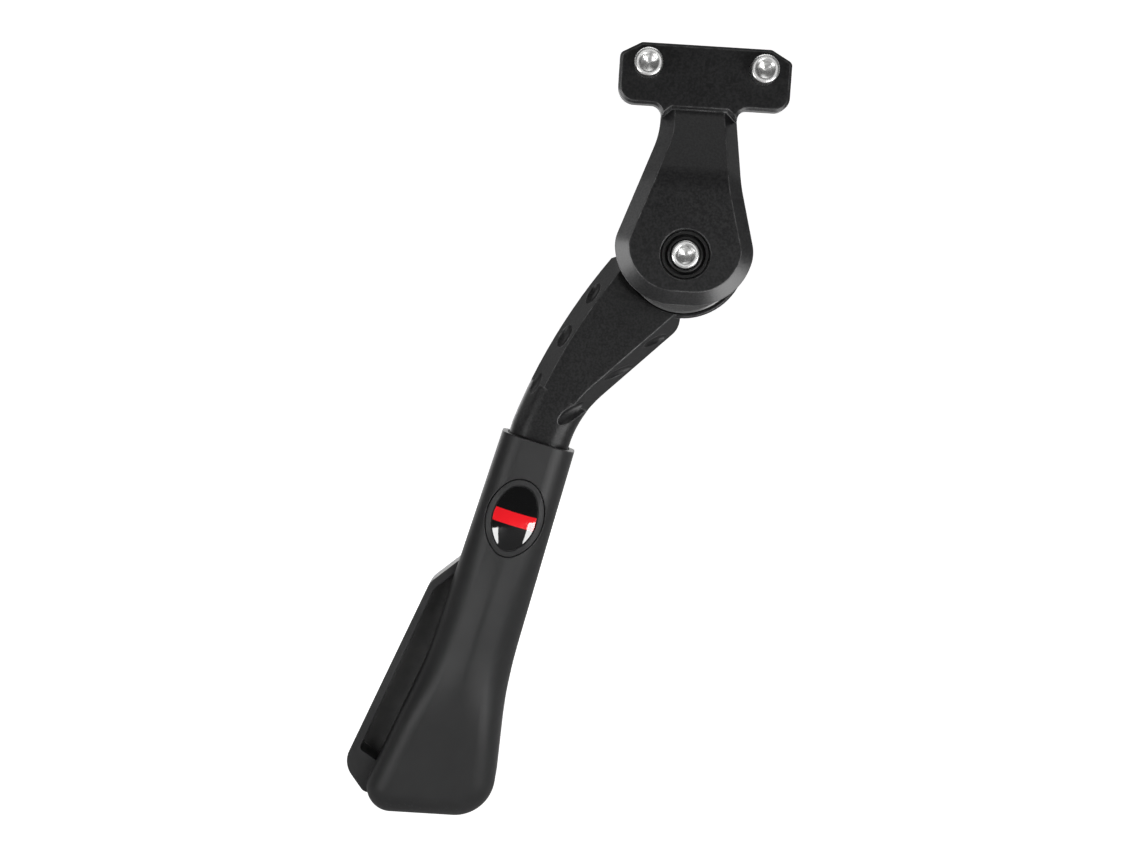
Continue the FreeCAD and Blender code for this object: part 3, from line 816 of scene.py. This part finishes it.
@dataclass
class SocketScrews:
    """Socket head screws with knurled heads and cut threads, heads towards -Y."""

    name: str
    replaces: str
    centres: tuple[tuple[float, float], ...]
    seat: float
    length: float
    head_radius: float = 5.0
    head_height: float = 6.0
    knurls: int = 36
    knurl_depth: float = 0.16
    chamfer: float = 0.5
    socket_flats: float = 5.0
    socket_depth: float = 3.0
    crest: float = 3.0
    root: float = 2.45
    pitch: float = 1.0
    turn: float = 17.0
    turn_step: float = 31.0

    def _knurled(self, height: float) -> Shape:
        """A ring of the knurl: every second vertex lies deeper.

        Args:
            height: the ring's height.

        Returns:
            The ring's shape.
        """
        def shape(angle: float) -> tuple[float, float]:
            """Radius and height at an angle."""
            tooth = round(angle / (math.pi / self.knurls)) % 2
            return self.head_radius - self.knurl_depth * tooth, height

        return shape

    def _socket(self, height: float) -> Shape:
        """A ring of the hexagon socket at a height."""
        return lambda angle: (hexagon(self.socket_flats, angle), height)

    def head(self) -> bmesh.types.BMesh:
        """Knurled head with its hexagon socket, ring by ring from the seat over the rim to the floor.

        Returns:
            A closed mesh along +Z from the seat.
        """
        r, top, cut = self.head_radius, self.head_height, self.chamfer
        inner = r - self.knurl_depth
        mouth = self.socket_flats / math.sqrt(3) + 0.32
        floor = top - self.socket_depth
        turned = Turning(2 * self.knurls, at(r - 0.45, 0.0))
        turned.grow(at(r - 0.12, 0.3), self._knurled(0.45), self._knurled(top - cut - 0.5))
        turned.grow(at(inner, top - cut - 0.25), at(inner, top - cut))
        turned.grow(at(r - 0.28, top - 0.22), at(r - cut - 0.05, top - 0.05), at(r - cut - 0.35, top))
        turned.grow(at(mouth + 0.1, top), at(mouth, top - 0.06))
        turned.grow(self._socket(top - 0.36), self._socket(floor))
        turned.grow(at(1.9, floor - 0.25), at(0.2, floor - 0.9))
        return turned.cap().bm

    def dress(self, materials: dict[Slot, bpy.types.Material]) -> None:
        """Builds the screws.

        Args:
            materials: the materials by slot.
        """
        piece = Piece(self.name, Body.BRACKET, Slot.PLATED_STEEL, (self.replaces,))
        for number, (x, z) in enumerate(self.centres):
            spin = Matrix.Rotation(math.radians(self.turn + self.turn_step * number), 4, "Z")
            place = Matrix.Translation((x, self.seat, z)) @ OUTWARD @ spin
            piece.add(self.head(), place)
            piece.add(thread(0.0, -self.length, self.crest, self.root, self.pitch), place)
        piece.make(materials)


@dataclass
class LockNut:
    """Hexagon lock nut with chamfered corners and a rolled collar, behind the retaining washer."""

    centre: tuple[float, float]
    seat: float
    flats: float = 10.0
    height: float = 4.4
    collar: float = 2.0
    bore: float = 3.1
    ring_bore: float = 4.2
    chamfer: float = 30.0
    chamfer_start: float = 0.12
    segments: int = 72

    def _brim(self, height: float, way: float) -> Shape:
        """The curved line where the corners' chamfer meets the flats.

        Args:
            height: height of the face that is chamfered.
            way: 1 where the flats lie above that face, -1 where they lie below.

        Returns:
            The line as a ring's shape.
        """
        slope = math.tan(math.radians(self.chamfer))

        def shape(angle: float) -> tuple[float, float]:
            """Radius and height at an angle."""
            reach = hexagon(self.flats, angle)
            return reach, height + way * (self.chamfer_start + (reach - self.flats / 2) * slope)

        return shape

    def dress(self, materials: dict[Slot, bpy.types.Material]) -> None:
        """Builds the nut.

        Args:
            materials: the materials by slot.
        """
        half, top = self.flats / 2, self.height
        end = top + self.collar
        turned = Turning(self.segments, at(self.bore, 0.0))
        turned.grow(at(half - 0.15, 0.0), self._brim(0.0, 1.0))
        turned.grow(self._brim(top, -1.0), at(half - 0.25, top))
        turned.grow(at(half - 0.45, top + 0.15), at(half - 0.45, end - 0.7), at(half - 0.62, end - 0.2))
        turned.grow(at(half - 0.78, end), at(self.ring_bore + 0.02, end), at(self.ring_bore, end - 0.1))
        turned.grow(at(self.ring_bore, top), at(self.bore, top)).join()
        piece = Piece("lock_nut_chamfered", Body.BRACKET, Slot.PLATED_STEEL, ("lock_nut",))
        place = Matrix.Translation((self.centre[0], self.seat, self.centre[1]))
        piece.add(turned.bm, place @ INWARD)
        piece.make(materials)


@dataclass
class Inlay:
    """Crowned egg-shaped inlay, set into the face of the push button."""

    centre: tuple[float, float]
    seat: float
    tilt: float
    half_width: float = 7.6
    half_length: float = 11.6
    blunt_end: float = 0.78
    slim_end: float = 0.62
    height: float = 2.2
    wall: float = 0.75
    heel: float = 0.06
    heel_share: float = 0.985
    segments: int = 128
    rings: int = 16

    def reach(self, angle: float) -> float:
        """Distance from the middle to the outline, which is made of arcs as the solid's is.

        Args:
            angle: the angle from the right side, towards the blunt upper end.

        Returns:
            The distance.
        """
        end = self.half_width * (self.blunt_end if math.sin(angle) > 0 else self.slim_end)
        rise = self.half_length - end
        side = (self.half_width ** 2 + rise ** 2 - end ** 2) / (2 * (self.half_width - end))
        across, up = abs(math.cos(angle)), abs(math.sin(angle))
        joint = Vector((side - self.half_width, rise)).normalized() * end + Vector((0.0, rise))
        on_side = up * joint.x <= across * joint.y
        centre = Vector((self.half_width - side, 0.0)) if on_side else Vector((0.0, rise))
        radius = side if on_side else end
        ahead = centre.dot(Vector((across, up)))
        return ahead + math.sqrt(ahead ** 2 - centre.length_squared + radius ** 2)

    def _ring(self, share: float, height: float) -> Shape:
        """One ring of the crown at a share of the outline's size."""
        return lambda angle: (self.reach(angle) * share, height)

    def dress(self, materials: dict[Slot, bpy.types.Material]) -> None:
        """Builds the inlay.

        Args:
            materials: the materials by slot.
        """
        turned = Turning(self.segments, self._ring(self.heel_share, 0.0))
        turned.grow(self._ring(1.0, self.heel), self._ring(1.0, self.wall))
        crown = self.height - self.wall
        for number in range(1, self.rings + 1):
            share = 1.0 - number / (self.rings + 1)
            turned.grow(self._ring(share, self.wall + crown * (1.0 - share ** 2)))
        piece = Piece("button_inlay", Body.BUTTON, Slot.DOME_GLOSS, ("button_dome",))
        place = Matrix.Translation((self.centre[0], self.seat, self.centre[1]))
        lean = Matrix.Rotation(math.radians(self.tilt), 4, "Y")
        piece.add(turned.cap().bm, place @ lean @ OUTWARD)
        piece.make(materials)


@dataclass
class ButtonCoil:
    """The spring behind the button, pressed together between the button and the foot's wall."""

    node: str = "button_spring"
    joint: str = "button_press"
    press: float = 2.05

    def dress(self, materials: dict[Slot, bpy.types.Material]) -> None:
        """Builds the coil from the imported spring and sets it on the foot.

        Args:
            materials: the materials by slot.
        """
        packed = frame["nodes"][self.node]
        low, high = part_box(self.node)
        bm = bmesh.new()
        bm.from_mesh(packed.data)
        piece = Piece("button_coil", Body.FOOT, Slot.SPRING_STEEL, (self.node,))
        piece.add(bm, Matrix.Scale(1 / MM, 4) @ packed.matrix_world)
        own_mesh(piece.make(materials))


@dataclass
class Kickstand:
    """The whole part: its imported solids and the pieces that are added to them."""

    bolt_pitch: float = 40.0
    plate_front: float = -6.0
    mount_length: float = 16.0
    pivot: tuple[float, float] = (-3.3, -64.9)
    pivot_seat: float = -10.2
    pivot_length: float = 27.0
    nut_seat: float = 9.4
    mouth: tuple[float, float] = (-50.1, -133.56)
    foot_tilt: float = 13.6
    button_at: float = 28.0
    inlay_seat: float = -9.9

    @property
    def foot_axis(self) -> Point:
        """Direction down the foot."""
        turn = math.radians(self.foot_tilt)
        return -math.sin(turn), 0.0, -math.cos(turn)

    @property
    def button(self) -> tuple[float, float]:
        """The button's middle, in X and Z."""
        across, _, down = self.foot_axis
        return self.mouth[0] + across * self.button_at, self.mouth[1] + down * self.button_at

    def dress(self) -> None:
        """Gives every solid its finish and builds the added pieces."""
        x, z = self.button
        sole = CAD_BOX[0].z / MM
        mouth = (self.mouth[0], 0.0, self.mouth[1])
        pivot = (self.pivot[0], 0.0, self.pivot[1])
        materials = Finishes(pivot, self.foot_axis, mouth, (x, self.inlay_seat, z), sole).table()
        for part in frame["record"]["subparts"]:
            node = frame["nodes"][part["node"]]
            slot = Slot(part["material_slot"])
            node.data.materials.clear()
            node.data.materials.append(materials[slot])
            LOG.info("%s: %s", node.name, slot.value)
        half = self.bolt_pitch / 2
        SocketScrews(
            "mounting_screws_knurled", "mounting_screws", ((-half, 0.0), (half, 0.0)),
            self.plate_front, self.mount_length,
        ).dress(materials)
        SocketScrews(
            "pivot_screw_knurled", "pivot_screw", (self.pivot,), self.pivot_seat, self.pivot_length,
        ).dress(materials)
        LockNut(self.pivot, self.nut_seat).dress(materials)
        Inlay(self.button, self.inlay_seat, self.foot_tilt).dress(materials)
        ButtonCoil().dress(materials)


@dataclass
class Lamp:
    """A soft rectangular lamp that looks at a point, and lights only some pieces or spares some."""

    name: str
    place: Point
    target: Point
    width: float
    height: float
    radiance: float
    only: tuple[str, ...] = ()
    spare: tuple[str, ...] = ()

    def make(self) -> None:
        """Adds the lamp; its power follows from its radiance and area."""
        light = bpy.data.lights.new(self.name, "AREA")
        light.shape = "RECTANGLE"
        light.size = self.width
        light.size_y = self.height
        light.energy = math.pi * self.width * self.height * self.radiance
        lamp = bpy.data.objects.new(self.name, light)
        lamp.location = self.place
        look = Vector(self.target) - Vector(self.place)
        lamp.rotation_mode = "QUATERNION"
        lamp.rotation_quaternion = look.to_track_quat("-Z", "Y")
        lamp.visible_camera = False
        if self.only or self.spare:
            flags = bpy.data.collections.new(self.name)
            for piece in self.only + self.spare:
                flags.objects.link(bpy.data.objects[piece])
            for flag in flags.collection_objects:
                flag.light_linking.link_state = "INCLUDE" if self.only else "EXCLUDE"
            lamp.light_linking.receiver_collection = flags
        bpy.context.scene.collection.objects.link(lamp)


@dataclass
class Studio:
    """Pale floor with a curved backdrop, soft lamps, the world and the camera."""

    floor_drop: float = 0.031
    half_width: float = 3.0
    depth: float = 1.7
    front: float = -2.4
    height: float = 2.6
    curve: float = 0.6
    paper_dark: Colour = (0.86, 0.86, 0.86)
    paper_light: Colour = (0.90, 0.90, 0.90)
    paper_mm: float = 2.0
    room: float = 0.12
    room_behind: tuple[float, float] = (0.2, 0.7)
    glow: float = 0.92
    glow_near: float = 0.90
    glow_rises: tuple[float, float] = (0.3, 0.9)
    glow_behind: tuple[float, float] = (0.8, 1.5)
    sensor: float = 36.0
    lens: float = 48.002
    eye: Point = (-0.0391834, -0.5410685, -0.0809494)
    look_down: float = 5.0
    roll: float = 3.5794

    def backdrop(self) -> None:
        """Floor and backdrop in one swept sheet."""
        low = CAD_BOX[0].z - self.floor_drop
        bm = bmesh.new()
        line = ((self.front, low), (self.depth, low), (self.depth, low + self.height))
        verts = [bm.verts.new((-self.half_width, y, z)) for y, z in line]
        edges = [bm.edges.new(pair) for pair in zip(verts, verts[1:])]
        out = bmesh.ops.extrude_edge_only(bm, edges=edges)["geom"]
        moved = [g for g in out if isinstance(g, bmesh.types.BMVert)]
        bmesh.ops.translate(bm, vec=(2 * self.half_width, 0, 0), verts=moved)
        corner = [e for e in bm.edges if len(e.link_faces) == 2]
        bmesh.ops.bevel(
            bm, geom=corner, offset=self.curve, offset_type="OFFSET", affect="EDGES", segments=16,
            profile=0.5, material=-1,
        )
        bmesh.ops.recalc_face_normals(bm, faces=bm.faces)
        mesh = bpy.data.meshes.new("backdrop")
        bm.to_mesh(mesh)
        bm.free()
        mesh.shade_smooth()
        mesh.materials.append(self.paper())
        sheet = bpy.data.objects.new("backdrop", mesh)
        bpy.context.scene.collection.objects.link(sheet)

    def paper(self) -> bpy.types.Material:
        """Pale paper that the camera sees as white, and reflections do far behind the part.

        Returns:
            The material.
        """
        s = Shader("backdrop_paper")
        colour = s.mix(s.noise(self.paper_mm, 3.0), self.paper_dark, self.paper_light)
        matt = s.node("ShaderNodeBsdfDiffuse", None, {"Color": colour})
        white = {"Color": (1.0, 1.0, 1.0, 1.0), "Strength": self.glow}
        glow = s.node("ShaderNodeEmission", None, white)
        lit = s.node("ShaderNodeAddShader", None, {0: matt, 1: glow})
        seen, gloss, clear = s.rays()
        away = s.along((0.0, 1.0, 0.0))
        shown = seen * (self.glow_near + away.step(*self.glow_rises) * (1.0 - self.glow_near))
        share = (shown + (gloss + clear) * away.step(*self.glow_behind)).lower(1.0)
        s.node_output(s.node("ShaderNodeMixShader", None, {0: share, 1: matt, 2: lit}))
        return s.material

    def world(self) -> None:
        """A plain dim room that the camera, and reflections of what lies behind, see as white."""
        s = Room("room")
        dim = s.node("ShaderNodeBackground", None, {"Color": (self.room, self.room, self.room, 1.0)})
        white = s.node("ShaderNodeBackground", None, {"Color": (1.0, 1.0, 1.0, 1.0)})
        seen, gloss, clear = s.rays()
        behind = s.along((0.0, 1.0, 0.0)).step(*self.room_behind)
        share = (seen + (gloss + clear) * behind).lower(1.0)
        s.node_output(s.node("ShaderNodeMixShader", None, {0: share, 1: dim, 2: white}))

    def lamps(self) -> None:
        """Soft boxes for each kind of piece at the sides and in front, weak ones above and behind."""
        boss = (-0.003, -0.012, -0.075)
        foot = (-0.075, 0.0, -0.19)
        button = (-0.057, -0.012, -0.161)
        bracket = ("mount_bracket", "thrust_washer", "cup_washer")
        forgings = ("leg", "mount_bracket")
        plastic = ("foot_shell", "release_button")
        inlay = ("button_inlay",)
        screws = ("mounting_screws_knurled", "pivot_screw_knurled")
        lamps = (
            Lamp("left_box", (-0.19, -0.02, -0.105), boss, 0.15, 0.14, 5.8, only=bracket),
            Lamp("right_box", (0.12, -0.03, -0.17), boss, 0.14, 0.13, 6.2, only=bracket),
            Lamp("left_high", (-0.36, -0.06, 0.10), boss, 0.26, 0.26, 1.1, only=forgings),
            Lamp("leg_strip", (0.135, -0.13, -0.26), boss, 0.08, 0.06, 14.0, only=("leg",)),
            Lamp("left_front", (-0.357, -0.46, -0.20), foot, 0.18, 0.14, 7.0, spare=inlay + plastic),
            Lamp("right_front", (0.243, -0.46, -0.20), foot, 0.18, 0.14, 8.8, spare=inlay + plastic),
            Lamp("foot_left", (-0.38, -0.45, -0.17), button, 0.34, 0.20, 3.0, only=plastic),
            Lamp("foot_right", (0.23, -0.45, -0.17), button, 0.40, 0.20, 5.0, only=plastic),
            Lamp("left_card", (-0.1514, -0.1286, -0.241), button, 0.036, 0.078, 20.0, only=inlay),
            Lamp("right_card", (0.029, -0.135, -0.241), button, 0.036, 0.078, 20.0, only=inlay),
            Lamp("screw_panel", (0.0, -0.90, 0.05), boss, 0.50, 0.40, 0.9, only=screws),
            Lamp("top_box", (0.05, -0.35, 0.65), boss, 0.50, 0.40, 1.0),
            Lamp("foot_side", (0.70, 0.35, 0.10), foot, 0.60, 0.60, 1.6, only=plastic),
            Lamp("left_back", (-0.55, 0.95, 0.10), foot, 0.60, 0.60, 1.3),
            Lamp("right_back", (0.45, 0.95, 0.10), foot, 0.60, 0.60, 1.3),
            Lamp("back_high", (-0.05, 0.85, 0.40), foot, 0.60, 0.50, 1.4),
        )
        for lamp in lamps:
            lamp.make()

    def camera(self) -> None:
        """The camera where the photograph was taken."""
        down = math.radians(self.look_down)
        turn = math.radians(self.roll)
        ahead = Vector((0.0, math.cos(down), -math.sin(down)))
        side = Vector((1.0, 0.0, 0.0))
        over = Vector((0.0, math.sin(down), math.cos(down)))
        right = side * math.cos(turn) + over * math.sin(turn)
        up = over * math.cos(turn) - side * math.sin(turn)
        data = bpy.data.cameras.new("camera")
        data.lens = self.lens
        data.sensor_width = self.sensor
        data.clip_start = 0.01
        data.clip_end = 50.0
        camera = bpy.data.objects.new("camera", data)
        turned = Matrix((right, up, -ahead)).transposed().to_4x4()
        camera.matrix_world = Matrix.Translation(self.eye) @ turned
        bpy.context.scene.collection.objects.link(camera)
        bpy.context.scene.camera = camera

    def make(self) -> None:
        """Builds the whole studio."""
        bpy.context.scene.view_settings.view_transform = "Standard"
        self.backdrop()
        self.world()
        self.lamps()
        self.camera()


def main() -> None:
    """Builds the part and the studio."""
    logging.basicConfig(level=logging.INFO, format="%(name)s %(message)s")
    Kickstand().dress()
    Studio().make()


if __name__ == "__main__":
    main()
